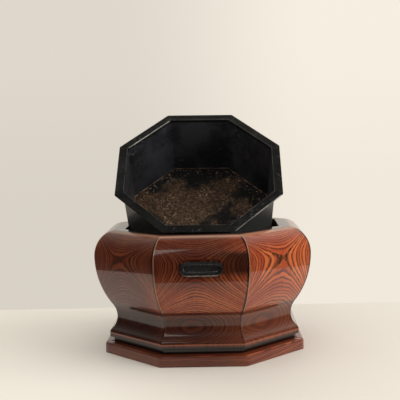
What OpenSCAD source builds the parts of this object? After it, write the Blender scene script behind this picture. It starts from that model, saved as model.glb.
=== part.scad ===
// Octagonal charcoal hibachi: a hollowed wooden pot on a mitred plinth, with a
// loose sheet-copper fire liner leaning in its mouth and two let-in finger pulls.
// +Z is up, the origin is the middle of the base on the floor, and a finger pull
// faces -Y. Lengths are millimetres, and every octagon is given by its apothem,
// which is half of its width across flats.

/* [Pot] */
// Width across flats at the fullest part of the belly
belly_width = 400; // [390:2:410]
// Height of the fullest part of the belly above the floor
belly_height = 183; // [178:1:188]
// Width across flats at the waist
waist_width = 325; // [320:1:332]
// Height of the waist above the floor
waist_height = 67; // [65:1:70]
// Width across flats at the lip of the foot
foot_width = 353; // [349:1:357]
// Height of the pot's top ring above the floor
pot_height = 229.6; // [226:0.2:233]
// Width across flats of the flat top ring
ring_width = 320; // [314:1:326]
// Width across flats of the mouth and of the hollow below it
mouth_width = 287; // [286:1:290]
// Share of the belly curve's radii that belongs to the full belly arc
belly_share = 0.8; // [0.7:0.01:0.85]
// Share of the foot curve's radii that belongs to the rounded lip
lip_share = 0.24; // [0.15:0.01:0.35]

/* [Plinth] */
// Width across flats of the plinth
plinth_width = 370; // [364:1:376]
// Height of the plinth rails
plinth_height = 20; // [18:0.5:22]
// Width of one plinth rail, from its outer to its inner edge
rail_width = 45; // [42:1:50]
// Radius of the rounded top edge of a rail
rail_round = 4; // [1:0.5:6]
// Height of the groove between plinth and foot
groove_height = 9.5; // [8:0.5:11]
// Width across flats of the neck inside the groove
neck_width = 338; // [330:1:344]
// Diameter of the wooden pegs that hold the plinth
peg_dia = 8; // [6:1:10]
// Length of one peg
peg_length = 34; // [28:1:38]

/* [Floor] */
// Height of the ledge that carries the floor board
ledge_height = 74; // [70:1:78]
// Thickness of the floor board
floor_thick = 14; // [10:1:16]
// Width across flats of the open well below the floor board
well_width = 244; // [230:2:250]

/* [Fire liner] */
// Width across flats of the out-turned flange
flange_width = 310; // [306:1:314]
// Thickness of the flange
flange_thick = 1.6; // [1.4:0.1:2]
// Outer width across flats of the wall at the mouth
liner_top_width = 280; // [276:1:281]
// Outer width across flats of the wall at the bottom
liner_bottom_width = 274; // [270:1:275]
// Depth of the liner below its flange
liner_depth = 133; // [128:1:136]
// Thickness of the sheet
sheet_thick = 1.4; // [1.2:0.1:1.8]
// Height of the wall's raised edge above the flange
edge_rise = 1.2; // [0.8:0.1:1.6]
// Tilt of the liner from upright towards the front, in degrees
liner_tilt = 42.4; // [41:0.1:44]
// Turn of the leaning liner in the plane of the front, right side down, in degrees
liner_roll = 0.8; // [0:0.1:1]
// Distance of the liner's mouth from the pot's axis, towards the front
liner_forward = 34.6; // [33:0.2:36]
// Distance of the liner's mouth from the pot's axis, towards the right
liner_side = -3.2; // [-3.4:0.2:0]
// Gap between the middle of the flange's lowest edge and the pot's top ring
lip_gap = 1.5; // [1.4:0.1:3]

/* [Finger pulls] */
// Height of the finger pulls above the floor
pull_height = 175; // [170:1:180]
// Length of a pull over its rim
pull_length = 75; // [70:1:80]
// Height of a pull over its rim
pull_width = 26; // [24:1:28]
// Width of the raised rim around the dish
rim_width = 3.6; // [3:0.2:5]
// Thickness of the rim
rim_thick = 3.2; // [2.6:0.2:3.6]
// Depth of the dish behind the rim
dish_depth = 10; // [9:1:14]
// Width of the sunk border in the wood around the rim
border_width = 3.5; // [2:0.5:4]

/* [Hidden] */
$fn = 64;
RAILS = 8;

belly = belly_width / 2;
waist = waist_width / 2;
foot = foot_width / 2;
ring = ring_width / 2;
mouth = mouth_width / 2;
plinth = plinth_width / 2;
neck = neck_width / 2;
well = well_width / 2;
foot_bottom = plinth_height + groove_height;
lip_height = foot_bottom + 8;
steps = 9;             // points on each arc of the outline
side_len = 2 * belly;  // long enough to reach past every corner

peg_apothem = (plinth - rail_width + neck) / 2;
peg_spread = 84;       // distance between the two pegs of one rail
peg_rise = 6;          // wood left under the blind holes of the pegs

board_gap = 0.4;       // seasonal clearance round the floor board
dish_thick = 1.2;
dish_flange = 1.5;     // how far the dish runs under the rim
rim_proud = 1.6;       // how far the rim stands out of the belly
pull_face = belly + rim_proud;
pin_dia = 1.8;
pin_length = 9;
pin_inset = 8;         // from the end of the dish to a pin
pin_head = 0.6;        // how far a pin stands out of the dish's floor

// Height of the middle of the liner's mouth when its flange leans over the ring
liner_height = pot_height + lip_gap + flange_thick * cos(liner_tilt)
    + flange_width / 2 * sin(liner_tilt);

oxblood = [0.36, 0.13, 0.07];
walnut = [0.30, 0.12, 0.07];
pine = [0.62, 0.46, 0.30];
bamboo = [0.72, 0.60, 0.38];
iron = [0.10, 0.10, 0.11];
copper_black = [0.13, 0.13, 0.14];

// Points of an S-curve between a narrow and a wide [apothem, height], both with a
// vertical tangent. wide_share is the wide arc's share of the two radii together.
function ogee(narrow, wide, wide_share) =
    let (
        da = wide[0] - narrow[0],
        dz = wide[1] - narrow[1],
        radii = (da * da + dz * dz) / (2 * da),
        r_wide = wide_share * radii,
        r_narrow = radii - r_wide,
        turn = asin(abs(dz) / radii),
        way = sign(dz)
    )
    concat(
        [for (k = [0:steps - 1]) let (t = turn * k / steps)
            [narrow[0] + r_narrow * (1 - cos(t)), narrow[1] + way * r_narrow * sin(t)]],
        [for (k = [0:steps]) let (t = turn * (1 - k / steps))
            [wide[0] - r_wide * (1 - cos(t)), wide[1] - way * r_wide * sin(t)]]
    );

function reversed(points) = [for (k = [len(points) - 1:-1:0]) points[k]];

// Quarter of an ellipse from the belly up and in to the flat top ring
function shoulder() =
    [for (k = [1:steps]) let (t = 90 * k / steps)
        [ring + (belly - ring) * cos(t), belly_height + (pot_height - belly_height) * sin(t)]];

function pot_outline() = concat(
    [[neck, plinth_height], [neck, foot_bottom], [foot, foot_bottom]],
    reversed(ogee([waist, waist_height], [foot, lip_height], lip_share)),
    ogee([waist, waist_height], [belly, belly_height], belly_share),
    shoulder()
);

// Solid whose level section is a regular octagon, with its [apothem, height]
// outline running from the bottom to the top
module octagon_solid(outline) {
    mirrored = [for (p = reversed(outline)) [-p[0], p[1]]];
    intersection_for (turn = [0:45:135])
        rotate([90, 0, turn])
            linear_extrude(height = 2 * side_len, center = true)
                polygon(concat(outline, mirrored));
}

module octagon_prism(apothem, low, high) {
    octagon_solid([[apothem, low], [apothem, high]]);
}

// Flat-ended bar with round ends, lying along X, from y = near to y = far
module stadium(length, width, near, far) {
    ends = length / 2 - width / 2;
    translate([0, far, 0])
        rotate([90, 0, 0])
            linear_extrude(height = far - near) {
                square([2 * ends, width], center = true);
                for (side = [-1, 1])
                    translate([side * ends, 0]) circle(d = width);
            }
}

// Puts what is drawn for the front pull on the front face, or turned to the back
module on_face(back) {
    rotate([0, 0, back ? 180 : 0])
        translate([0, 0, pull_height])
            children();
}

// Everything that a pull needs cut out of the wood
module pull_pocket() {
    stadium(pull_length + 2 * border_width, pull_width + 2 * border_width,
        -belly - 10, -pull_face + rim_thick);
    stadium(pull_length - 2 * rim_width, pull_width - 2 * rim_width,
        -belly, -pull_face + rim_thick + dish_depth);
    pull_pins();
}

module pull_dish() {
    back_of_rim = -pull_face + rim_thick;
    hole_length = pull_length - 2 * rim_width;
    hole_width = pull_width - 2 * rim_width;
    difference() {
        stadium(hole_length, hole_width, back_of_rim, back_of_rim + dish_depth);
        stadium(hole_length - 2 * dish_thick, hole_width - 2 * dish_thick,
            back_of_rim - 1, back_of_rim + dish_depth - dish_thick);
        pull_pins();
    }
}

module pull_rim() {
    inset = rim_width + dish_thick - dish_flange / 2;
    difference() {
        stadium(pull_length, pull_width, -pull_face, -pull_face + rim_thick);
        stadium(pull_length - 2 * inset, pull_width - 2 * inset,
            -pull_face - 1, -pull_face + rim_thick + 1);
    }
}

// Two short nails through the floor of the dish into the wood
module pull_pins() {
    dish_floor = -pull_face + rim_thick + dish_depth - dish_thick;
    for (side = [-1, 1])
        translate([side * (pull_length / 2 - rim_width - pin_inset), dish_floor - pin_head, 0])
            rotate([-90, 0, 0])
                cylinder(d = pin_dia, h = pin_length, $fn = 24);
}

module body() {
    color(oxblood)
        difference() {
            octagon_solid(pot_outline());
            octagon_prism(mouth, ledge_height, pot_height + 1);
            octagon_prism(well, plinth_height - 1, ledge_height + 1);
            for (back = [false, true]) on_face(back) pull_pocket();
            plinth_peg_set();
        }
}

module floor_board() {
    color(pine)
        octagon_prism(mouth - board_gap, ledge_height, ledge_height + floor_thick);
}

module plinth_rail(number) {
    inner = plinth - rail_width;
    color(walnut)
        rotate([0, 0, 45 * (number - 1)])
            difference() {
                intersection() {
                    rotate([90, 0, 90])
                        linear_extrude(height = side_len, center = true)
                            polygon(concat(
                                [[-inner, 0], [-inner, plinth_height]],
                                [for (k = [0:6]) let (t = 90 + 15 * k)
                                    [-plinth + rail_round + rail_round * cos(t),
                                     plinth_height - rail_round + rail_round * sin(t)]],
                                [[-plinth, 0]]
                            ));
                    mitred_sector();
                }
                rotate([0, 0, -45 * (number - 1)]) plinth_peg_set();
            }
}

// Eighth of the plan around the front rail, bounded by the two mitre planes
module mitred_sector() {
    reach = side_len;
    half = reach * tan(22.5);
    translate([0, 0, -1])
        linear_extrude(height = plinth_height + 2)
            polygon([[0, 0], [-half, -reach], [half, -reach]]);
}

module plinth_peg_set() {
    for (turn = [0:45:315], side = [-1, 1])
        rotate([0, 0, turn])
            translate([side * peg_spread / 2, -peg_apothem, peg_rise])
                cylinder(d = peg_dia, h = peg_length);
}

module plinth_pegs() {
    color(bamboo) plinth_peg_set();
}

module pull_part_dish(back) {
    color(iron) on_face(back) pull_dish();
}

module pull_part_rim(back) {
    color(iron) on_face(back) pull_rim();
}

module pull_part_pins(back) {
    color(iron) on_face(back) pull_pins();
}

// The liner is drawn upright with its mouth at z = 0, then leaned in the pot
module leaned() {
    translate([liner_side, -liner_forward, liner_height])
        rotate([0, liner_roll, 0])
            rotate([liner_tilt, 0, 0])
                children();
}

module liner_cone(inset, low, high) {
    slope = (liner_top_width - liner_bottom_width) / 2 / liner_depth;
    top = liner_top_width / 2 - inset;
    octagon_solid([[top + slope * low, low], [top + slope * high, high]]);
}

module liner_wall() {
    color(copper_black)
        leaned()
            difference() {
                liner_cone(0, -liner_depth, edge_rise);
                liner_cone(sheet_thick, -liner_depth - 1, edge_rise + 1);
            }
}

module liner_bottom() {
    color(copper_black)
        leaned()
            liner_cone(sheet_thick, -liner_depth, -liner_depth + sheet_thick);
}

module liner_flange() {
    color(copper_black)
        leaned()
            difference() {
                octagon_prism(flange_width / 2, -flange_thick, 0);
                liner_cone(0, -flange_thick - 1, 1);
            }
}

body();
floor_board();
plinth_pegs();
for (i = [1:RAILS])
    plinth_rail(i);
pull_part_dish(false);  // pull_front_dish
pull_part_rim(false);  // pull_front_rim
pull_part_pins(false);  // pull_front_pins
pull_part_dish(true);  // pull_back_dish
pull_part_rim(true);  // pull_back_rim
pull_part_pins(true);  // pull_back_pins
liner_wall();
liner_bottom();
liner_flange();
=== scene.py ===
"""Octagonal charcoal hibachi with a leaning copper fire liner, built around its CAD frame."""

import math

import bmesh
import bpy
from bpy.props import FloatProperty, FloatVectorProperty, IntProperty, PointerProperty
from mathutils import Euler, Matrix, Vector


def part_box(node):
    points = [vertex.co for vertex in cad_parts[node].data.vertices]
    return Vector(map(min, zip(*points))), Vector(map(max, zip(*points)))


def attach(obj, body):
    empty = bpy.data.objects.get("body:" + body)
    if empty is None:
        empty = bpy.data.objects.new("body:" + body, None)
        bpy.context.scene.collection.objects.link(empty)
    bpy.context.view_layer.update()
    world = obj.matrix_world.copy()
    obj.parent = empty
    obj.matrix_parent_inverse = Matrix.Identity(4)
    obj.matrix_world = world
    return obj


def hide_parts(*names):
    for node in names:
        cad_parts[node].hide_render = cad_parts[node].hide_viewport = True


bl_info = {
    "name": "Octagonal Hibachi",
    "version": (1, 0, 0),
    "blender": (4, 5, 0),
    "location": "View3D > Sidebar > Hibachi",
    "description": "Builds the pot, plinth, finger pulls and fire liner of an octagonal hibachi",
    "category": "Add Mesh",
}

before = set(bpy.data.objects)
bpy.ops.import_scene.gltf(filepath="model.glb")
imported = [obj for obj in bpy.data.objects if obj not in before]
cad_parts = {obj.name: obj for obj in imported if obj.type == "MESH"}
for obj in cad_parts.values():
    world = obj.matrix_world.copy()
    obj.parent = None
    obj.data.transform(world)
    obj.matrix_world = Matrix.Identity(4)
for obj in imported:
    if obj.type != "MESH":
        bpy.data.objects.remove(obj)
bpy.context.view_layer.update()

MM = 0.001
SIDES = 8
EIGHTH = 2 * math.pi / SIDES
HALF_EIGHTH = EIGHTH / 2
DIAGONAL = math.sqrt(0.5)

BODY_LOW, BODY_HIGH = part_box("body")
BOARD_LOW, BOARD_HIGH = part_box("floor_board")
RAIL_LOW, RAIL_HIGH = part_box("plinth_rail_1")
FLANGE_LOW, FLANGE_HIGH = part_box("liner_flange")
RIM_LOW, RIM_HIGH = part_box("pull_front_rim")
DISH_LOW, DISH_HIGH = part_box("pull_front_dish")
PINS_LOW, PINS_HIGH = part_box("pull_front_pins")
RIM_LENGTH, RIM_WIDTH = RIM_HIGH[0] - RIM_LOW[0], RIM_HIGH[2] - RIM_LOW[2]
DISH_LENGTH, DISH_WIDTH = DISH_HIGH[0] - DISH_LOW[0], DISH_HIGH[2] - DISH_LOW[2]
PULL_HEIGHT = (RIM_LOW[2] + RIM_HIGH[2]) / 2
WELD = 0.005 * MM


# ---------------------------------------------------------------- settings


def length(name, description, millimetres):
    return FloatProperty(name=name, description=description, default=millimetres * MM,
                         unit="LENGTH")


def degrees(name, description, value):
    return FloatProperty(name=name, description=description, default=math.radians(value),
                         unit="ROTATION")


def share(name, description, value, least, most):
    return FloatProperty(name=name, description=description, default=value, min=least, max=most)


def tint(name, description, value):
    return FloatVectorProperty(name=name, description=description, default=value,
                               subtype="COLOR", size=3)


def power(name, description, watts):
    return FloatProperty(name=name, description=description, default=watts, unit="POWER")


class PotSizes(bpy.types.PropertyGroup):
    waist: length("Waist", "Apothem of the waist", 162.5)
    waist_height: length("Waist height", "Height of the waist", 67)
    belly_height: length("Belly height", "Height of the fullest part", 183)
    foot: length("Foot", "Apothem of the foot's lip", 176.5)
    foot_height: length("Foot height", "Height of the foot's lower edge", 29.5)
    neck: length("Neck", "Apothem inside the groove", 169)
    ring: length("Top ring", "Outer apothem of the flat top ring", 160)
    well: length("Well", "Apothem of the well under the floor board", 122)
    board_gap: length("Board gap", "Clearance round the floor board", 0.4)
    belly_share: share("Belly share", "Share of the belly arc in its S-curve", 0.8, 0.7, 0.85)
    lip_share: share("Lip share", "Share of the lip arc in the foot's S-curve", 0.24, 0.15, 0.35)
    arris: length("Arris", "Radius of the eased upright edges", 1.6)
    ease: length("Ease", "Radius of the eased level edges", 1.2)
    arc_steps: IntProperty(
        name="Arc steps", description="Points on each arc of the outline", default=26, min=8)
    border: length("Pull border", "Sunk wood left round a pull's rim", 3.5)
    rail_round: length("Rail edge", "Radius of a plinth rail's top edge", 4)


class LinerSizes(bpy.types.PropertyGroup):
    sheet: length("Sheet", "Thickness of the copper sheet", 1.4)
    flange: length("Flange", "Apothem of the flange", 155)
    flange_thick: length("Flange thickness", "Thickness of the flange", 1.6)
    mouth: length("Mouth", "Outer apothem of the wall at the mouth", 140)
    bottom: length("Bottom", "Outer apothem of the wall at the bottom", 137)
    depth: length("Depth", "Depth of the liner below its flange", 133)
    edge_rise: length("Edge rise", "Height of the wall's edge above the flange", 1.2)
    corner: length("Corner", "Radius of the bent corners", 3.5)
    tilt: degrees("Tilt", "Lean towards the front", 42.4)
    roll: degrees("Roll", "Turn in the plane of the front, right side down", 0.8)


class Finishes(bpy.types.PropertyGroup):
    wood_light: tint("Light wood", "Late wood under the stain", (0.66, 0.165, 0.052))
    wood_mid: tint("Mid wood", "Red stain in the wood", (0.34, 0.052, 0.020))
    wood_dark: tint("Dark wood", "Stain held by the open early wood", (0.022, 0.007, 0.006))
    ring_width: length("Ring width", "Mean width of a growth ring", 1.5)
    patina: tint("Patina", "Black patina on the copper", (0.012, 0.013, 0.014))
    ash: tint("Ash stain", "Brown crust on the liner's bottom", (0.064, 0.036, 0.020))
    iron: tint("Iron", "Blackened iron of the pulls", (0.030, 0.031, 0.034))


class StageSettings(bpy.types.PropertyGroup):
    table: tint("Table", "Colour of the table", (0.83, 0.82, 0.79))
    wall: tint("Wall", "Colour of the wall behind", (0.80, 0.74, 0.65))
    key: power("Key light", "Power of the key light", 30.0)
    window: power("Window", "Power of each light that only the lacquer mirrors", 6.0)


# ---------------------------------------------------------------- node helpers


def add(tree, kind, *values, **settings):
    """Adds a node. The values fill its inputs in order, as links where they are wires."""
    node = tree.nodes.new(kind)
    for name, value in settings.items():
        setattr(node, name, value)
    for socket, value in zip([s for s in node.inputs if s.enabled], values):
        fill(tree, socket, value)
    return node


def fill(tree, socket, value):
    """Links a wire to an input, or sets the input's own value. None leaves it alone."""
    if isinstance(value, Wire):
        tree.links.new(value.socket, socket)
    elif value is not None:
        socket.default_value = (*value, 1.0) if socket.type == "RGBA" else value


def result(tree, kind, *values, output=0, **settings):
    """The wire from one output of a new node."""
    return Wire(tree, add(tree, kind, *values, **settings).outputs[output])


def enabled(sockets, name):
    """The socket of that name for the data type in use."""
    return next(s for s in sockets if s.enabled and s.name == name)


class Wire:
    """A node's output that can be calculated with. Every step adds a node to its tree."""

    def __init__(self, tree, socket):
        self.tree, self.socket = tree, socket

    def math(self, operation, *others):
        return result(self.tree, "ShaderNodeMath", self, *others, operation=operation)

    def __add__(self, other):
        return self.math("ADD", other)

    def __sub__(self, other):
        return self.math("SUBTRACT", other)

    def __rsub__(self, other):
        return result(self.tree, "ShaderNodeMath", other, self, operation="SUBTRACT")

    def __mul__(self, other):
        return self.math("MULTIPLY", other)

    def __truediv__(self, other):
        return self.math("DIVIDE", other)

    def __abs__(self):
        return self.math("ABSOLUTE")

    def above(self, other):
        """The larger of the two."""
        return self.math("MAXIMUM", other)

    def soft(self, low, high, new_low=0.0, new_high=1.0):
        """The value mapped from one range to another with soft ends."""
        return result(self.tree, "ShaderNodeMapRange", self, low, high, new_low, new_high,
                      interpolation_type="SMOOTHSTEP", output="Result")

    def mix(self, first, second, kind="RGBA"):
        """Goes from the first to the second as this wire goes from 0 to 1."""
        node = add(self.tree, "ShaderNodeMix", self, first, second, data_type=kind)
        return Wire(self.tree, enabled(node.outputs, "Result"))

    def vector(self, operation, *others, output="Vector"):
        return result(self.tree, "ShaderNodeVectorMath", self, *others, operation=operation,
                      output=output)

    def scaled(self, scale):
        """The vector or colour multiplied part by part."""
        return self.vector("MULTIPLY", scale)

    def dot(self, way):
        return self.vector("DOT_PRODUCT", way, output="Value")

    def axis(self, name):
        return result(self.tree, "ShaderNodeSeparateXYZ", self, output=name)

    def from_axis(self, reach=(1.0, 1.0, 0.0)):
        """The vector's length after scaling it, which is its distance from the Z axis."""
        return self.scaled(reach).vector("LENGTH", output="Value")


def noise(place, scale, detail=2.0, roughness=0.5):
    """A Noise texture's value. The scale is a number, or a vector for stretched noise."""
    if isinstance(scale, tuple):
        place, scale = place.scaled(scale), 1.0
    node = add(place.tree, "ShaderNodeTexNoise")
    for name, value in (("Vector", place), ("Scale", scale), ("Detail", detail),
                        ("Roughness", roughness), ("Distortion", 0.0)):
        fill(place.tree, node.inputs[name], value)
    return Wire(place.tree, node.outputs["Fac"])


def object_place(tree):
    return result(tree, "ShaderNodeTexCoord", output="Object")


def attribute(tree, name):
    return result(tree, "ShaderNodeAttribute", attribute_name=name, output="Vector")


def new_material(name):
    """An empty node material: itself, its tree and its Principled shader."""
    material = bpy.data.materials.new(name)
    material.use_nodes = True
    tree = material.node_tree
    tree.nodes.clear()
    shader = tree.nodes.new("ShaderNodeBsdfPrincipled")
    output = tree.nodes.new("ShaderNodeOutputMaterial")
    tree.links.new(shader.outputs["BSDF"], output.inputs["Surface"])
    return material, tree, shader


def finish(shader, color, rough, height=None, relief=0.0, constants=()):
    """Joins the patterns to the shader and sets its constants."""
    tree = color.tree
    fill(tree, shader.inputs["Base Color"], color)
    fill(tree, shader.inputs["Roughness"], rough)
    if height is not None:
        bump = tree.nodes.new("ShaderNodeBump")
        bump.inputs["Strength"].default_value = 1.0
        bump.inputs["Distance"].default_value = relief
        fill(tree, bump.inputs["Height"], height)
        tree.links.new(bump.outputs["Normal"], shader.inputs["Normal"])
    for name, value in constants:
        shader.inputs[name].default_value = value


# ---------------------------------------------------------------- materials


WHITE = (1.0, 1.0, 1.0)


def times(factor, tone):
    """A colour made lighter or darker."""
    return tuple(factor * part for part in tone)


def ring_figure(tree, radius, ring_width):
    """Growth rings at that distance from the pith: (early wood 0 to 1, a tone per year)."""
    rings = radius / ring_width
    uneven = noise(result(tree, "ShaderNodeCombineXYZ", rings, 0.0, 0.0), 0.33)
    rings = rings + uneven * 1.8
    year, season = rings.math("FLOOR"), rings.math("FRACT")
    tone = result(tree, "ShaderNodeTexWhiteNoise", year, noise_dimensions="1D", output="Value")
    early = season.soft(0.20, 0.60, 1.0, 0.0) * season.soft(0.0, 0.06)
    return early, tone


def zelkova(name, finishes, place_of, radius_of, scales, coat_roughness):
    """Stained and lacquered zelkova. place_of and radius_of give the grain's coordinates."""
    material, tree, shader = new_material(name)
    place = place_of(tree)
    waves, shakes, fibres, streaks, breaks = scales
    # the trunk isn't perfectly round: slow waves and a fine shake move the rings
    slow = noise(place, waves) - 0.5
    shake = noise(place, shakes, 3.0) - 0.5
    radius = radius_of(place) + slow * (13 * MM) + shake * (0.9 * MM)
    early, tone = ring_figure(tree, radius, finishes.ring_width)
    broken = noise(place, breaks, 3.0, 0.6)
    strength = tone.soft(0.0, 1.0, 0.74, 1.0) * broken.soft(0.30, 0.60, 0.55, 1.0)
    line = early * strength
    # short open pores crowd the early wood and thin out after it
    pores = noise(place, fibres).soft(0.58, 0.72) * (line * 0.7 + 0.25)
    streak = noise(place, streaks, 3.0)
    clouds = noise(place.scaled(waves), 2.3, 3.0)
    warmth = clouds * 0.9 + tone * 0.35 + streak * 0.35
    ground = warmth.soft(0.45, 1.15).mix(finishes.wood_mid, finishes.wood_light)
    color = (line * 0.97).mix(ground, finishes.wood_dark)
    color = (pores * 0.8).mix(color, finishes.wood_dark)
    finish(shader, color, streak.soft(0.3, 0.7, 0.28, 0.42), 1.0 - (line * 0.45 + pores),
           0.05 * MM, (("Coat Weight", 1.0), ("Coat Roughness", coat_roughness),
                       ("Coat IOR", 1.46), ("Specular IOR Level", 0.15)))
    return material, tree, shader, color


def right_share(place):
    """0 on the left and front sides of the pot, rising to 1 on the right ones."""
    return (place.axis("X") / place.from_axis()).soft(-0.1, 0.65)


def trunk_rings(place):
    """Ring distance from the belly. The rings are wider near the pith and on the right."""
    growth = 46 * MM
    past = place.from_axis() - BODY_HIGH[0]
    left = 1.0 - past / growth
    slower = 1.0 - right_share(place) * 0.36
    return left.math("LOGARITHM", math.e) * -growth * slower


def arris_line(place, offset, reach_limit):
    """1 along the eight upright edges, moved round by that angle, and 0 past the limit."""
    angle = place.axis("Y").math("ARCTAN2", place.axis("X")) + offset
    to_corner = HALF_EIGHTH - angle.math("PINGPONG", HALF_EIGHTH)
    width = noise(place, (90.0, 90.0, 30.0), 3.0) * reach_limit
    return (place.from_axis() * to_corner).soft(width, width * 0.3)


def body_wood(finishes):
    """Zelkova ringed round the pot's own axis, with dark edge lines and painted light and shade.
    """
    material, tree, shader, color = zelkova(
        "lacquered_zelkova", finishes, object_place, trunk_rings,
        ((7.0, 7.0, 3.0), (60.0, 60.0, 16.0), (1500.0, 1500.0, 120.0), (300.0, 300.0, 14.0),
         (260.0, 260.0, 90.0)), 0.045)
    place = object_place(tree)
    x, y, height = (place.axis(name) for name in "XYZ")
    right, middle = right_share(place), place.from_axis()
    leftward = x / (middle * -1.0)
    # painted shade: the left and front sides are darker than the right ones and the front's low
    # belly
    side_shade = height.soft(120 * MM, 178 * MM, 0.42, 1.0).above(leftward.soft(0.3, 0.6))
    side_shade = side_shade * right.soft(0.2, 1.0, 0.72, 0.0)
    color = color.scaled(side_shade.mix(WHITE, (0.12, 0.14, 0.24)))
    # painted light: the right sides lighter under the shoulder, the front and right lighter low
    # down
    painted_light = right * height.soft(225 * MM, 195 * MM, 0.0, 0.8)
    painted_light = painted_light.above(height.soft(150 * MM, 120 * MM, 0.0, 0.8) * leftward.soft(0.6, 0.3))
    color = color.scaled(painted_light.mix(WHITE, (1.36, 1.42, 1.42)))
    # a dark line lies beside each upright edge, and a painted highlight along the edge itself
    # a dark tone for the dark lines and the painted shade, and tones for the painted highlights
    dark_and_shade = times(0.5, finishes.wood_dark)
    edge_highlight, ring_highlight = (0.62, 0.36, 0.22), (0.62, 0.36, 0.25)
    color = (arris_line(place, -0.004, 2.4 * MM) * 0.55).mix(color, edge_highlight)
    color = (arris_line(place, 0.007, 4.6 * MM) * 0.96).mix(color, dark_and_shade)
    # the front is darker beside its pull, and a painted shadow line lies above the waist
    sideways = x / (y * -1.0)
    front = y.soft(-150 * MM, -160 * MM) * sideways.soft(0.425, 0.40)
    darker_front = height.soft(156 * MM, 172 * MM) * height.soft(208 * MM, 198 * MM) * front
    darker_front = darker_front * sideways.soft(0.05, 0.32, 0.15, 0.84)
    seam = abs(height - 90 * MM).soft(5 * MM, 1 * MM, 0.0, 0.6)
    for shade in (darker_front, seam):
        color = shade.mix(color, dark_and_shade)
    # painted shade on the waist and foot, less on the right, and a painted highlight along the
    # lip
    low = height.soft(105 * MM, 76 * MM, 0.0, 0.87)
    color = low.mix(color, right.mix(finishes.wood_dark, (0.10, 0.028, 0.016)))
    lip = abs(height - 37 * MM).soft(2.0 * MM, 0.6 * MM, 0.0, 0.30)
    color = lip.mix(color, finishes.wood_light)
    # a painted highlight lies along the top edge
    top = BODY_HIGH[2]
    highlight_band = height.soft(top - 4.5 * MM, top - 2.5 * MM) * 0.4
    color = highlight_band.mix(color, ring_highlight)
    # painted shade darkens the groove under the foot, the top ring and the wood round the mouth
    groove = height.soft(36 * MM, 30 * MM, 0.0, 0.97)
    ring = height.soft(top - 0.9 * MM, top - 0.2 * MM, 0.0, 0.9)
    inside = middle.soft(160 * MM, 157 * MM, 0.0, 0.9)
    for shade in (groove, ring, inside):
        color = shade.mix(color, dark_and_shade)
    fill(tree, shader.inputs["Base Color"], color)
    return material


def rail_wood(finishes):
    """Zelkova boards with the grain along each rail, from the rail's own coordinates."""
    def place_of(tree):
        return attribute(tree, "rail_place").vector("ADD", attribute(tree, "rail_shift"))

    def radius_of(place):
        return place.from_axis((0.05, 0.55, 1.0))

    material, tree, shader, color = zelkova(
        "plinth_zelkova", finishes, place_of, radius_of,
        ((4.0, 9.0, 9.0), (16.0, 60.0, 60.0), (120.0, 1500.0, 1500.0), (14.0, 300.0, 300.0),
         (40.0, 260.0, 260.0)), 0.16)
    # a darker tone on every rail, and painted shade darkens the left and front ones more
    stain = right_share(object_place(tree)).soft(0.2, 1.0, 0.70, 0.42)
    fill(tree, shader.inputs["Base Color"], stain.mix(color, finishes.wood_dark))
    return material


def bare_wood(name, color, dark):
    """Unfinished planed softwood for the floor board and the pegs."""
    material, tree, shader = new_material(name)
    place = object_place(tree)
    wave = noise(place, (4.0, 30.0, 30.0), 3.0)
    lines = result(tree, "ShaderNodeTexWave", place.scaled((6.0, 160.0, 60.0)), 1.0, 6.0, 3.0,
                   1.2, 0.6, bands_direction="Y", output="Fac")
    grain = wave * 0.6 + lines * 0.4
    finish(shader, grain.mix(dark, color), wave.soft(0.3, 0.7, 0.55, 0.75), grain, 0.1 * MM)
    return material


def side_distance(place):
    """Distance from the middle line to the side of an octagon through the place."""
    a, b, c, d = (abs(place.dot(way)) for way in (
        (1.0, 0.0, 0.0), (0.0, 1.0, 0.0), (DIAGONAL, DIAGONAL, 0.0), (DIAGONAL, -DIAGONAL, 0.0)))
    return a.above(b).above(c.above(d))


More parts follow.
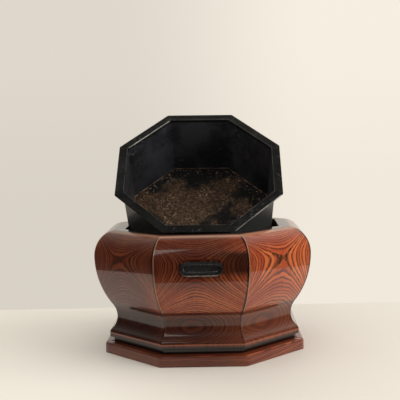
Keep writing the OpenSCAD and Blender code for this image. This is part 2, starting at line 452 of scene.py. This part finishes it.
def patina_copper(finishes, sizes):
    """Black patinated copper sheet with rubs, specks and scratches, in the liner's own frame."""
    material, tree, shader = new_material("black_patina_copper")
    place = attribute(tree, "liner_place")
    up, height = place.axis("Y"), place.axis("Z")
    clouds = noise(place, 16.0, 4.0, 0.6)
    specks = noise(place, 130.0, 5.0, 0.75).soft(0.53, 0.64)
    specks = specks * height.soft(-2 * MM, -8 * MM, 0.4, 1.3)
    specks = specks * (noise(place, 22.0, 3.0, 0.6).soft(0.50, 0.66) * 0.8 + 0.12)
    rubs = noise(place, (40.0, 40.0, 240.0), 4.0, 0.7).soft(0.62, 0.78)
    color = clouds.soft(0.42, 0.72).mix(finishes.patina, times(1.9, finishes.patina))
    color = specks.mix(color, (0.30, 0.31, 0.31))
    color = (rubs * 0.3).mix(color, (0.085, 0.085, 0.082))
    # a film of dust lies below the flange, and on the far side it is lighter still with painted
    # light
    dust_and_light = height.soft(-1.8 * MM, -8 * MM) * up.soft(60 * MM, 125 * MM, 0.45, 0.9)
    dust_and_light = dust_and_light * noise(place, 13.0, 5.0, 0.65).soft(0.36, 0.62, 0.35, 1.35)
    color = dust_and_light.mix(color, (0.11, 0.12, 0.15))
    # the outside is greyer than the inside
    taper = height * ((sizes.mouth - sizes.bottom) / sizes.depth)
    past = side_distance(place) - (taper + (sizes.mouth - 0.5 * sizes.sheet))
    outside = height.soft(-2 * MM, -6 * MM) * past.soft(-0.1 * MM, 0.1 * MM, 0.0, 0.65)
    color = outside.mix(color, (0.17, 0.18, 0.17))
    # a little wear on the raised edge, and painted highlights along the rim's edge on two sides
    wear_and_highlight = height.soft(0.2 * MM, 0.9 * MM) * 0.10
    beside = abs(place.dot((DIAGONAL, DIAGONAL, 0.0)))
    for side, reach, strength in ((-DIAGONAL, sizes.mouth - 0.2 * MM, 1.0),
                                  (DIAGONAL, sizes.flange - 0.4 * MM, 0.55)):
        edge = abs(place.dot((side, -side, 0.0)) - reach)
        edge = edge.soft(1.4 * MM, 0.9 * MM, 0.0, strength) * height.soft(-1.2 * MM, -0.6 * MM)
        wear_and_highlight = wear_and_highlight.above(edge * beside.soft(0.40 * reach, 0.37 * reach))
    wear_and_highlight = wear_and_highlight * noise(place, 35.0, 3.0, 0.6).soft(0.38, 0.6, 0.35, 1.0)
    color = wear_and_highlight.mix(color, (0.72, 0.71, 0.68))
    rough = clouds.soft(0.3, 0.7, 0.28, 0.42) + specks * 0.2
    finish(shader, color, rough, noise(place, 34.0) * 4.0 + specks * 0.3, 0.16 * MM,
           (("Metallic", 0.35), ("Specular IOR Level", 0.35)))
    return material


def ash_copper(finishes, middle_height, seam_reach):
    """The liner's bottom: patina below, and a brown crust of ash and flecks on its inside."""
    material, tree, shader = new_material("ash_stained_copper")
    place = attribute(tree, "liner_place")
    up, height, middle = place.axis("Y"), place.axis("Z"), place.from_axis()
    inside = height.soft(middle_height - 0.2 * MM, middle_height + 0.2 * MM)
    cover = middle.soft(145 * MM, 95 * MM, 0.0, 0.5)
    cover = cover + noise(place, 13.0, 5.0, 0.6).soft(0.38, 0.62)
    crust = cover.soft(0.55, 1.25) * inside
    mottle = noise(place, 210.0, 6.0, 0.85)
    earth = mottle.soft(0.42, 0.66).mix(times(0.45, finishes.ash), times(3.6, finishes.ash))
    color = crust.mix(finishes.patina, earth)
    # most of the flecks lie along the far edge, and a broken bright seam ends the bottom there
    grit = noise(place, 24.0, 3.0, 0.6).soft(0.48, 0.62)
    grit = grit.above(middle.soft(112 * MM, 126 * MM) * up.soft(10 * MM, 70 * MM))
    flecks = noise(place, 230.0, 3.0, 0.7).soft(0.59, 0.65) * grit * inside
    color = flecks.mix(color, (0.55, 0.42, 0.29))
    seam = side_distance(place).soft(seam_reach - 2.2 * MM, seam_reach - 1.4 * MM) * inside
    seam = seam * (up.soft(0.0, 60 * MM)
                   * noise(place, 60.0, 4.0, 0.7).soft(0.42, 0.58, 0.1, 0.9))
    color = seam.mix(color, (0.42, 0.24, 0.16))
    scrapes = noise(place, (260.0, 30.0, 1.0), 4.0, 0.7).soft(0.62, 0.74) * inside * 0.5
    color = scrapes.mix(color, (0.25, 0.19, 0.13))
    finish(shader, color, crust.soft(0.0, 1.0, 0.42, 0.85), mottle * crust + flecks, 0.5 * MM)
    return material


def black_iron(finishes):
    """Blackened iron with lighter patches, rust-brown specks and painted light."""
    material, tree, shader = new_material("blackened_iron")
    place = object_place(tree)
    wear_and_highlight = noise(place, 180.0, 4.0, 0.6)
    specks = noise(place, 700.0, 3.0, 0.6).soft(0.6, 0.72) * 0.25
    color = wear_and_highlight.soft(0.45, 0.75).mix(finishes.iron, (0.05, 0.047, 0.045))
    color = specks.mix(color, (0.07, 0.035, 0.02))
    # painted light: the dish lighter than the rim, and a painted highlight on the rim's lower
    # edge
    out = abs(place.axis("Y"))
    color = out.soft(199.5 * MM, 196 * MM, 0.0, 0.9).mix(color, (0.15, 0.148, 0.15))
    low = place.axis("Z").soft(RIM_LOW[2] + 3.2 * MM, RIM_LOW[2] + 1.6 * MM)
    highlight_band = out.soft(199.5 * MM, 200.6 * MM) * low * wear_and_highlight.soft(0.35, 0.6, 0.3, 0.9)
    color = highlight_band.mix(color, (0.42, 0.38, 0.35))
    finish(shader, color, wear_and_highlight.soft(0.3, 0.7, 0.16, 0.30), wear_and_highlight, 0.05 * MM,
           (("Metallic", 0.6),))
    return material


def made(name, maker, *parts):
    """The material of that name, made on first use."""
    return bpy.data.materials.get(name) or maker(*parts)


# ---------------------------------------------------------------- geometry helpers


def arc(center, radius, start, end, steps):
    """Points on an arc in the outline's plane, angles in degrees from +apothem."""
    turns = [math.radians(start + (end - start) * k / steps) for k in range(steps + 1)]
    return [(center[0] + radius * math.cos(t), center[1] + radius * math.sin(t)) for t in turns]


def ogee(narrow, wide, wide_share, steps):
    """S-curve of two arcs from a narrow to a wide (apothem, height), upright at both ends."""
    across, rise = wide[0] - narrow[0], wide[1] - narrow[1]
    radii = (across ** 2 + rise ** 2) / (2 * across)
    r_wide = wide_share * radii
    r_narrow = radii - r_wide
    turn = math.degrees(math.asin(abs(rise) / radii))
    way = math.copysign(1, rise)
    hollow = arc((narrow[0] + r_narrow, narrow[1]), r_narrow, 180, 180 - way * turn, steps)
    full = arc((wide[0] - r_wide, wide[1]), r_wide, -way * turn, 0, steps)
    return hollow[:-1] + full


def line_mesh(name, points):
    """A closed loop of edges in the XZ plane, through (apothem, height) points."""
    mesh = bpy.data.meshes.new(name)
    edges = [(k, (k + 1) % len(points)) for k in range(len(points))]
    mesh.from_pydata([(a, 0.0, z) for a, z in points], edges, [])
    return mesh


def new_tree(name, inputs):
    """A Geometry Nodes tree with the named inputs: itself, its inputs' wires, its output."""
    tree = bpy.data.node_groups.new(name, "GeometryNodeTree")
    tree.interface.new_socket("Geometry", in_out="INPUT", socket_type="NodeSocketGeometry")
    for label, kind, default in inputs:
        socket = tree.interface.new_socket(label, in_out="INPUT", socket_type=kind)
        if default is not None:
            socket.default_value = default
    tree.interface.new_socket("Geometry", in_out="OUTPUT", socket_type="NodeSocketGeometry")
    entry = tree.nodes.new("NodeGroupInput")
    given = {socket.name: Wire(tree, socket) for socket in entry.outputs}
    return tree, given, tree.nodes.new("NodeGroupOutput").inputs["Geometry"]


def end_tree(tree, geometry, given, output):
    """Ends a tree with real geometry in the given material."""
    real = result(tree, "GeometryNodeRealizeInstances", geometry)
    fill(tree, output, result(tree, "GeometryNodeSetMaterial", real, None, given["Material"]))
    return tree


def combined(tree, x, y, z):
    return result(tree, "ShaderNodeCombineXYZ", x, y, z)


def stored(tree, geometry, name, value, domain):
    """The geometry with that value kept as a named attribute."""
    return result(tree, "GeometryNodeStoreNamedAttribute", geometry, None, name, value,
                  data_type="FLOAT_VECTOR", domain=domain)


def instances(tree, points, **named):
    """Instances on the points, with the named inputs of the node filled."""
    node = add(tree, "GeometryNodeInstanceOnPoints", points)
    for name, value in named.items():
        fill(tree, node.inputs[name.capitalize()], value)
    return Wire(tree, node.outputs["Instances"])


def link_object(name, data):
    thing = bpy.data.objects.new(name, data)
    bpy.context.scene.collection.objects.link(thing)
    return thing


def evaluated_mesh(thing):
    """A new mesh of the object as its modifiers leave it."""
    graph = bpy.context.evaluated_depsgraph_get()
    return bpy.data.meshes.new_from_object(thing.evaluated_get(graph), depsgraph=graph)


def baked(name, mesh, tree, **values):
    """A plain mesh object made by running the tree on the mesh with those input values."""
    source = link_object(name + "_source", mesh)
    modifier = source.modifiers.new("build", "NODES")
    modifier.node_group = tree
    names = {item.name.replace(" ", "_").lower(): item.identifier
             for item in tree.interface.items_tree if item.item_type == "SOCKET"}
    for key, value in values.items():
        modifier[names[key]] = value
    built = evaluated_mesh(source)
    source.modifiers.remove(modifier)
    bpy.data.objects.remove(source)
    built.name = name
    return link_object(name, built)


def outward(piece):
    """Welds doubles and points every face outwards."""
    work = bmesh.new()
    work.from_mesh(piece.data)
    bmesh.ops.remove_doubles(work, verts=work.verts, dist=WELD)
    bmesh.ops.recalc_face_normals(work, faces=work.faces)
    work.to_mesh(piece.data)
    work.free()


def smooth(piece, angle):
    """Smooth shading with sharp edges above the angle, in degrees."""
    piece.data.shade_smooth()
    piece.data.set_sharp_from_angle(angle=math.radians(angle))


def dress(piece, material, slot, body, *nodes):
    """Gives a finished piece its material, body and the CAD nodes it stands for; slot is not
    used.
    """
    piece.data.materials.clear()
    piece.data.materials.append(material)
    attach(piece, body)
    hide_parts(*nodes)


def refinish(node, material):
    """Gives a CAD piece that stays as it is another material."""
    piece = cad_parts[node]
    piece.data.materials.clear()
    piece.data.materials.append(material)


def octagon_lathe():
    """Tree that carries a closed outline round an octagon with eased corners."""
    tree, given, output = new_tree("Octagon Lathe", [
        ("Corner Radius", "NodeSocketFloat", 1.5 * MM),
        ("Corner Steps", "NodeSocketInt", 5),
        ("Face Steps", "NodeSocketInt", 11),
        ("Place", "NodeSocketVector", None),
        ("Turn", "NodeSocketRotation", None),
        ("Material", "NodeSocketMaterial", None),
    ])
    # a grid with a row for each point of the outline, wrapped round in both directions
    count = result(tree, "GeometryNodeAttributeDomainSize", given["Geometry"],
                   output="Point Count")
    per_side = given["Corner Steps"] + given["Face Steps"]
    around = per_side * float(SIDES)
    columns = around + 1.0
    grid = result(tree, "GeometryNodeMeshGrid", 1.0, 1.0, count + 1.0, columns)
    index = result(tree, "GeometryNodeInputIndex")
    row = (index / columns).math("FLOOR").math("MODULO", count)
    column = index.math("MODULO", columns).math("MODULO", around)
    here = result(tree, "GeometryNodeInputPosition")
    sample = add(tree, "GeometryNodeSampleIndex", given["Geometry"], here, row,
                 data_type="FLOAT_VECTOR")
    outline = Wire(tree, enabled(sample.outputs, "Value"))
    apothem = outline.axis("X")
    # where on its side a column is: first round the corner, then along the flat
    side, part = (column / per_side).math("FLOOR"), column.math("MODULO", per_side)
    last = given["Corner Steps"] - 1.0
    bend = (part / last).math("MINIMUM", 1.0)
    slide = ((part - last) / (per_side - last)).soft(0.0, 1.0)
    corner = side * EIGHTH + HALF_EIGHTH
    facing = corner + (bend * EIGHTH - HALF_EIGHTH)
    radius = given["Corner Radius"].math("MINIMUM", apothem)
    reach = (apothem - radius) / math.cos(HALF_EIGHTH)

    def direction(angle, length):
        return combined(tree, angle.math("COSINE") * length, angle.math("SINE") * length, 0.0)

    middle = slide.mix(direction(corner, reach), direction(corner + EIGHTH, reach), "VECTOR")
    point = middle.vector("ADD", direction(facing, radius))
    point = point.vector("ADD", combined(tree, 0.0, 0.0, outline.axis("Z")))
    moved = result(tree, "GeometryNodeSetPosition", grid, None, point)
    placed = add(tree, "GeometryNodeTransform", stored(tree, moved, "liner_place", here, "POINT"))
    fill(tree, placed.inputs["Translation"], given["Place"])
    fill(tree, placed.inputs["Rotation"], given["Turn"])
    merged = add(tree, "GeometryNodeMergeByDistance", Wire(tree, placed.outputs["Geometry"]))
    merged.inputs["Distance"].default_value = WELD
    return end_tree(tree, Wire(tree, merged.outputs["Geometry"]), given, output)


def lathe():
    """The octagon lathe, made once and used for the body and the liner."""
    return bpy.data.node_groups.get("Octagon Lathe") or octagon_lathe()


def stadium_ring(length, width, y):
    """Closed ring of points of a bar with round ends, standing in the plane of that y."""
    straight = (length - width) / 2
    ring = []
    for side, start in ((1, -90), (-1, 90)):
        for x, z in arc((side * straight, 0.0), width / 2, start, start + 180, 12):
            ring.append((x, y, z))
        for k in range(1, 4):
            ring.append((side * straight * (1 - k / 2), y, side * width / 2))
    return ring


def loft(name, rings, closed):
    """A skin through equal rings, closed on itself or capped at both ends."""
    mesh = bpy.data.meshes.new(name)
    count = len(rings[0])
    faces = []
    pairs = len(rings) if closed else len(rings) - 1
    for k in range(pairs):
        first, second = k * count, ((k + 1) % len(rings)) * count
        for j in range(count):
            n = (j + 1) % count
            faces.append((first + j, first + n, second + n, second + j))
    if not closed:
        faces.append(tuple(range(count)))
        faces.append(tuple((len(rings) - 1) * count + j for j in range(count)))
    mesh.from_pydata([point for ring in rings for point in ring], [], faces)
    piece = link_object(name, mesh)
    outward(piece)
    return piece


def on_face(piece, back):
    """Puts a pull's piece, drawn at height 0 on the front, at its height and face."""
    turn = Matrix.Rotation(math.pi if back else 0.0, 4, "Z")
    piece.data.transform(turn @ Matrix.Translation((0.0, 0.0, PULL_HEIGHT)))
    return piece


def cut(piece, cutter):
    """Subtracts the cutter from the piece and removes it."""
    modifier = piece.modifiers.new("cut", "BOOLEAN")
    modifier.operation = "DIFFERENCE"
    modifier.solver = "EXACT"
    modifier.object = cutter
    mesh = evaluated_mesh(piece)
    piece.modifiers.remove(modifier)
    piece.data = mesh
    bpy.data.objects.remove(cutter)


# ---------------------------------------------------------------- the pot


def pot_outline(sizes):
    """Closed (apothem, height) outline of the hollow body, from the neck up and back down."""
    belly, top, base = BODY_HIGH[0], BODY_HIGH[2], BODY_LOW[2]
    mouth, ledge = BOARD_HIGH[0] + sizes.board_gap, BOARD_LOW[2]
    steps, ease = sizes.arc_steps, sizes.ease
    lip = (sizes.foot, sizes.foot_height + 8 * MM)
    waist = (sizes.waist, sizes.waist_height)
    foot_curve = ogee(waist, lip, sizes.lip_share, steps // 2)
    foot_curve.reverse()
    belly_curve = ogee(waist, (belly, sizes.belly_height), sizes.belly_share, steps)
    wide, tall = belly - sizes.ring, top - sizes.belly_height
    shoulder = [(sizes.ring + wide * math.cos(t), sizes.belly_height + tall * math.sin(t))
                for t in (math.pi / 2 * k / steps for k in range(1, steps + 1))]
    return (
        [(sizes.neck, base), (sizes.neck, sizes.foot_height - 0.01 * MM)]
        + arc((sizes.foot - ease, sizes.foot_height + ease), ease, -90, 0, 4)
        + foot_curve + belly_curve[1:] + shoulder
        + arc((mouth + ease, top - ease), ease, 90, 180, 4)
        + [(mouth, (top + ledge) / 2), (mouth, ledge), (sizes.well, ledge), (sizes.well, base)]
    )


def pocket_rings(border):
    """Rings of a pull's pocket, from outside the face through the sunk border to the dish."""
    length, width = RIM_LENGTH + 2 * border, RIM_WIDTH + 2 * border
    hole_length, hole_width = DISH_LENGTH + 0.2 * MM, DISH_WIDTH + 0.2 * MM
    face, soft = -BODY_HIGH[0], 0.6 * MM
    return [
        stadium_ring(length + 2 * soft, width + 2 * soft, RIM_LOW[1] - 8 * MM),
        stadium_ring(length + 2 * soft, width + 2 * soft, face),
        stadium_ring(length + soft, width + soft, face + soft),
        stadium_ring(length, width, face + 1.5 * soft),
        stadium_ring(length, width, RIM_HIGH[1]),
        stadium_ring(hole_length, hole_width, RIM_HIGH[1]),
        stadium_ring(hole_length, hole_width, DISH_HIGH[1]),
    ]


class HIBACHI_OT_body(bpy.types.Operator):
    """Builds the hollowed body and lets the pockets of the pulls into it"""
    bl_idname = "hibachi.body"
    bl_label = "Body"

    def execute(self, context):
        sizes = context.scene.hibachi_pot
        wood = made("lacquered_zelkova", body_wood, context.scene.hibachi_finishes)
        body = baked("pot_body", line_mesh("pot_outline", pot_outline(sizes)), lathe(),
                     corner_radius=sizes.arris, corner_steps=5, face_steps=13, material=wood)
        outward(body)
        for back in (False, True):
            cut(body, on_face(loft("pocket", pocket_rings(sizes.border), closed=False), back))
        outward(body)
        smooth(body, 30)
        dress(body, wood, "zelkova_body", "pot", "body")
        return {"FINISHED"}


def rail_mesh(sizes):
    """One plinth rail at the front, mitred at both ends, with eased edges."""
    outer, inner = -RAIL_LOW[1], -RAIL_HIGH[1]
    top = RAIL_HIGH[2]
    round_top, ease = sizes.rail_round, 1.0 * MM
    section = (
        arc((outer - ease, ease), ease, -90, 0, 3)
        + arc((outer - round_top, top - round_top), round_top, 0, 90, 10)
        + arc((inner + ease, top - ease), ease, 90, 180, 3)
        + arc((inner + ease, ease), ease, 180, 270, 3)
    )
    # the outer edges close in a little at the mitres
    end, most = 0.015, 0.7 * MM
    stops = [-1.0, -0.996, end - 1.0] + [k / 8 for k in range(-7, 8)] + [1.0 - end, 0.996, 1.0]
    rings = []
    for stop in stops:
        close = 1.0 - min(1.0, (1.0 - abs(stop)) / end)
        shrink = most * close ** 2
        ring = []
        for a, z in section:
            lift = math.copysign(min(abs(z - top / 2), shrink), z - top / 2)
            depth = a - shrink if a > (outer + inner) / 2 else a
            ring.append((stop * depth * math.tan(HALF_EIGHTH), -depth, z - lift * 0.6))
        rings.append(ring)
    return loft("rail", rings, closed=False)


def rail_ring_tree():
    """Tree that repeats one rail round the pot and keeps each rail's own coordinates."""
    tree, given, output = new_tree("Rail Ring", [
        ("Rails", "NodeSocketInt", SIDES),
        ("Seed", "NodeSocketInt", 4),
        ("Material", "NodeSocketMaterial", None),
    ])
    here = result(tree, "GeometryNodeInputPosition")
    rail = stored(tree, given["Geometry"], "rail_place", here, "POINT")
    points = result(tree, "GeometryNodePoints", given["Rails"])
    angle = result(tree, "GeometryNodeInputIndex") * EIGHTH
    placed = instances(tree, points, instance=rail, rotation=combined(tree, 0.0, 0.0, angle))
    random = add(tree, "FunctionNodeRandomValue", (-1.0, -0.03, -0.03), (1.0, 0.05, 0.03), None,
                 given["Seed"], data_type="FLOAT_VECTOR")
    shift = Wire(tree, enabled(random.outputs, "Value")).vector("ADD", (0.0, 0.0, 0.06))
    named = stored(tree, placed, "rail_shift", shift, "INSTANCE")
    return end_tree(tree, named, given, output)


class HIBACHI_OT_plinth(bpy.types.Operator):
    """Builds the eight mitred rails and finishes the hidden pegs"""
    bl_idname = "hibachi.plinth"
    bl_label = "Plinth"

    def execute(self, context):
        wood = made("plinth_zelkova", rail_wood, context.scene.hibachi_finishes)
        rail = rail_mesh(context.scene.hibachi_pot)
        plinth = baked("plinth_rails", rail.data, rail_ring_tree(), material=wood)
        bpy.data.objects.remove(rail)
        smooth(plinth, 40)
        dress(plinth, wood, "zelkova_plinth", "pot",
              *[f"plinth_rail_{k}" for k in range(1, SIDES + 1)])
        refinish("plinth_pegs", bare_wood("peg_wood", (0.62, 0.47, 0.28), (0.45, 0.31, 0.16)))
        return {"FINISHED"}


class HIBACHI_OT_floor(bpy.types.Operator):
    """Finishes the floor board inside the pot"""
    bl_idname = "hibachi.floor"
    bl_label = "Floor board"

    def execute(self, context):
        refinish("floor_board", bare_wood("floor_wood", (0.34, 0.21, 0.12), (0.16, 0.09, 0.05)))
        return {"FINISHED"}


# ---------------------------------------------------------------- the pulls


def pull_rim(name):
    """Half-round rim with a flat back, in the shape of a bar with round ends."""
    across = (RIM_LENGTH - DISH_LENGTH) / 2 + 0.5 * MM
    deep = RIM_HIGH[1] - RIM_LOW[1]
    rings = []
    for k in range(13):
        t = math.pi * k / 12
        inset = across * (1 - math.cos(t))
        y = RIM_HIGH[1] - deep * math.sin(t) ** 0.7
        rings.append(stadium_ring(RIM_LENGTH - inset, RIM_WIDTH - inset, y))
    return loft(name, rings, closed=True)


def pull_dish(name):
    """Thin pressed dish with a rounded bottom, seen from the front through the rim."""
    thick, bend = 1.2 * MM, 4 * MM
    front, floor = DISH_LOW[1], DISH_HIGH[1]

    def shell(inset, end, radius):
        rings = [stadium_ring(DISH_LENGTH - 2 * inset, DISH_WIDTH - 2 * inset, front)]
        for x, y in arc((0.0, end - radius), radius, 0, 90, 6):
            shift = inset + radius - x
            rings.append(stadium_ring(DISH_LENGTH - 2 * shift, DISH_WIDTH - 2 * shift, y))
        return rings

    inside = shell(thick, floor - thick, bend - thick)
    return loft(name, inside[::-1] + shell(0.0, floor, bend), closed=False)


def pin_tree():
    """Tree that sets a domed nail head on every point."""
    tree, given, output = new_tree("Pin Heads", [
        ("Head Radius", "NodeSocketFloat", 1.3 * MM),
        ("Head Height", "NodeSocketFloat", 0.6 * MM),
        ("Material", "NodeSocketMaterial", None),
    ])
    dome = result(tree, "GeometryNodeMeshUVSphere", 16, 8, 1.0)
    radius = given["Head Radius"]
    size = combined(tree, radius, given["Head Height"], radius)
    return end_tree(tree, instances(tree, given["Geometry"], instance=dome, scale=size), given,
                    output)


class HIBACHI_OT_pulls(bpy.types.Operator):
    """Builds the rims, dishes and nail heads of the two finger pulls"""
    bl_idname = "hibachi.pulls"
    bl_label = "Finger pulls"

    def execute(self, context):
        iron = made("blackened_iron", black_iron, context.scene.hibachi_finishes)
        for side, back in (("front", False), ("back", True)):
            for part, maker in (("rim", pull_rim), ("dish", pull_dish)):
                piece = on_face(maker(f"pull_{part}_{side}"), back)
                smooth(piece, 40)
                dress(piece, iron, "pull_metal", "pot", f"pull_{side}_{part}")
        spots = bpy.data.meshes.new("pin_spots")
        reach = PINS_HIGH[0] - 0.9 * MM
        spots.from_pydata([(x, way * PINS_LOW[1], PULL_HEIGHT)
                           for way in (1, -1) for x in (-reach, reach)], [], [])
        heads = baked("pull_pin_heads", spots, pin_tree(), material=iron)
        smooth(heads, 60)
        dress(heads, iron, "pull_metal", "pot", "pull_front_pins", "pull_back_pins")
        return {"FINISHED"}


# ---------------------------------------------------------------- the liner


def liner_pose(sizes):
    """(turn, place) of the leaning liner; the flange's box is centred on its plate."""
    turn = Euler((sizes.tilt, sizes.roll, 0.0))
    middle = (Vector(FLANGE_LOW) + Vector(FLANGE_HIGH)) / 2
    return turn, middle + turn.to_matrix() @ Vector((0.0, 0.0, sizes.flange_thick / 2))


def liner_outlines(sizes):
    """Closed outlines of the wall, the flange and the bottom, in the liner's own frame."""
    sheet, depth, rise, flange = sizes.sheet, sizes.depth, sizes.edge_rise, sizes.flange
    slope = (sizes.mouth - sizes.bottom) / depth
    edge, lip = sizes.flange_thick / 2, sheet / 2

    def outer(z):
        return sizes.mouth + slope * z

    wall = (
        [(outer(-depth), -depth), (outer(-depth * 0.5), -depth * 0.5), (outer(-lip), -lip)]
        + arc((outer(0.0) - lip, rise - lip), lip, 0, 180, 8)
        + [(outer(-depth * 0.5) - sheet, -depth * 0.5), (outer(-depth) - sheet, -depth)]
    )
    plate = (
        arc((flange - edge, -edge), edge, -90, 90, 8)
        + [(flange - 6 * MM, 0.0), (outer(0.0) + 2 * MM, 0.0)]
        + [(outer(0.0) - 0.2 * MM, 0.5 * MM), (outer(0.0) - 0.2 * MM, -2 * edge)]
    )
    floor = [(0.0, -depth), (outer(-depth) - sheet, -depth),
             (outer(-depth) - sheet, -depth + sheet), (0.0, -depth + sheet)]
    return wall, plate, floor


class HIBACHI_OT_liner(bpy.types.Operator):
    """Builds the wall, bottom and flange of the fire liner in its leaning pose"""
    bl_idname = "hibachi.liner"
    bl_label = "Fire liner"

    def execute(self, context):
        sizes = context.scene.hibachi_liner
        finishes = context.scene.hibachi_finishes
        copper = made("black_patina_copper", patina_copper, finishes, sizes)
        ash = made("ash_stained_copper", ash_copper, finishes, sizes.sheet / 2 - sizes.depth,
                   sizes.bottom - sizes.sheet)
        turn, place = liner_pose(sizes)
        wall, plate, floor = liner_outlines(sizes)
        for name, outline, material, slot, node, wider in (
            ("liner_wall_sheet", wall, copper, "liner_copper", "liner_wall", 1.0),
            ("liner_flange_plate", plate, copper, "liner_copper", "liner_flange", 1.6),
            ("liner_bottom_sheet", floor, ash, "liner_residue", "liner_bottom", 1.0),
        ):
            piece = baked(name, line_mesh(name, outline), lathe(),
                          corner_radius=sizes.corner * wider, corner_steps=7, face_steps=13,
                          place=place, turn=turn, material=material)
            outward(piece)
            smooth(piece, 40)
            dress(piece, material, slot, "liner", node)
        return {"FINISHED"}


# ---------------------------------------------------------------- camera and stage


class HIBACHI_OT_camera(bpy.types.Operator):
    """Sets up the camera in front of the pot"""
    bl_idname = "hibachi.camera"
    bl_label = "Camera"

    def execute(self, context):
        data = bpy.data.cameras.new("camera")
        data.lens = 74.0
        camera = link_object("camera", data)
        heading, downward, roll = (math.radians(angle) for angle in (1.41, 4.89, -1.42))
        turn = (Matrix.Rotation(heading, 4, "Z")
                @ Matrix.Rotation(math.pi / 2 - downward, 4, "X")
                @ Matrix.Rotation(roll, 4, "Z"))
        camera.matrix_world = Matrix.Translation((0.0354, -1.5856, 0.412)) @ turn
        context.scene.camera = camera
        return {"FINISHED"}


def area_light(name, place, aim, width, height, watts, color):
    data = bpy.data.lights.new(name, "AREA")
    data.shape = "RECTANGLE"
    data.size, data.size_y = width, height
    data.energy = watts
    data.color = color
    light = link_object(name, data)
    light.location = place
    way = Vector(aim) - Vector(place)
    light.rotation_euler = way.to_track_quat("-Z", "Y").to_euler()
    return light


def room_world(stage):
    """Pale wall behind and above, and a dim room in front for the lacquer to mirror."""
    world = bpy.data.worlds.new("room")
    world.use_nodes = True
    tree = world.node_tree
    tree.nodes.clear()
    way = result(tree, "ShaderNodeTexCoord", output="Generated")
    x, y, z = (way.axis(name) for name in "XYZ")
    # what the lacquer mirrors: the wall, a dark room in front and a lighter ceiling
    behind, above = y.soft(0.05, 0.55, 0.02, 0.85), z.soft(0.36, 0.46, 0.0, 0.05)
    mirrored = (behind + above) * x.soft(-0.9, 0.9, 0.45, 1.36)
    # what lights the scene: mostly the ceiling, and a little from the floor below the table
    lighting = z.soft(0.1, 0.8, 0.04, 1.30) + z.soft(-0.05, -0.4, 0.0, 0.45)
    seen = x.soft(-0.13, 0.13, 0.86, 1.10) + z.soft(-0.10, 0.12, 0.0, 0.06)
    rays = tree.nodes.new("ShaderNodeLightPath").outputs
    level = Wire(tree, rays["Is Glossy Ray"]).mix(lighting, mirrored, "FLOAT")
    level = Wire(tree, rays["Is Camera Ray"]).mix(level, seen, "FLOAT")
    background = add(tree, "ShaderNodeBackground", stage.wall, level)
    output = tree.nodes.new("ShaderNodeOutputWorld")
    tree.links.new(background.outputs[0], output.inputs["Surface"])
    return world


class HIBACHI_OT_stage(bpy.types.Operator):
    """Builds the pale table, the soft lights and the room around the pot"""
    bl_idname = "hibachi.stage"
    bl_label = "Stage"

    def execute(self, context):
        stage = context.scene.hibachi_stage
        near, far, reach = -0.43, 0.314, 0.62
        mesh = bpy.data.meshes.new("table")
        mesh.from_pydata([(-reach, near, 0.0), (reach, near, 0.0), (reach, far, 0.0),
                          (-reach, far, 0.0)], [], [(0, 1, 2, 3)])
        table = link_object("table", mesh)
        material, tree, shader = new_material("table_top")
        place = object_place(tree)
        color = noise(place, 6.0).mix(times(0.97, stage.table), stage.table)
        # painted light: the table's left side is lighter, which softens the pot's shadow there
        color = place.axis("X").soft(0.1, -0.2).mix(color, (0.97, 0.96, 0.93))
        finish(shader, color, 0.6)
        mesh.materials.append(material)
        key = area_light("key", (1.9, -0.55, 1.45), (0.0, 0.0, 0.2), 2.2, 2.2, stage.key,
                         (1.0, 0.96, 0.91))
        key.visible_glossy = False
        # two soft lights that only the lacquer and the metal mirror
        daylight = (1.0, 0.97, 0.93)
        window = area_light("window", (-0.65, -2.1, 1.83), (0.0, -0.2, 0.2), 0.9, 1.1,
                            stage.window, daylight)
        strip = area_light("strip", (1.5, -1.5, 0.9), (0.0, 0.0, 0.2), 0.35, 1.5,
                           stage.window, daylight)
        window.visible_diffuse = strip.visible_diffuse = False
        context.scene.world = room_world(stage)
        context.scene.view_settings.view_transform = "Standard"
        return {"FINISHED"}


class HIBACHI_PT_panel(bpy.types.Panel):
    """Lists the steps that build the hibachi"""
    bl_idname = "HIBACHI_PT_panel"
    bl_label = "Hibachi"
    bl_space_type = "VIEW_3D"
    bl_region_type = "UI"
    bl_category = "Hibachi"

    def draw(self, context):
        for step in STEPS:
            self.layout.operator(step.bl_idname)


STEPS = (HIBACHI_OT_camera, HIBACHI_OT_stage, HIBACHI_OT_body, HIBACHI_OT_plinth,
         HIBACHI_OT_floor, HIBACHI_OT_pulls, HIBACHI_OT_liner)
GROUPS = {"hibachi_pot": PotSizes, "hibachi_liner": LinerSizes,
          "hibachi_finishes": Finishes, "hibachi_stage": StageSettings}


def register():
    for group in GROUPS.values():
        bpy.utils.register_class(group)
    for kind in (*STEPS, HIBACHI_PT_panel):
        bpy.utils.register_class(kind)
    for name, group in GROUPS.items():
        setattr(bpy.types.Scene, name, PointerProperty(type=group))


def unregister():
    for name in GROUPS:
        delattr(bpy.types.Scene, name)
    for kind in (HIBACHI_PT_panel, *reversed(STEPS), *reversed(list(GROUPS.values()))):
        bpy.utils.unregister_class(kind)


def main():
    register()
    for step in STEPS:
        group, action = step.bl_idname.split(".")
        getattr(getattr(bpy.ops, group), action)()


if __name__ == "__main__":
    main()
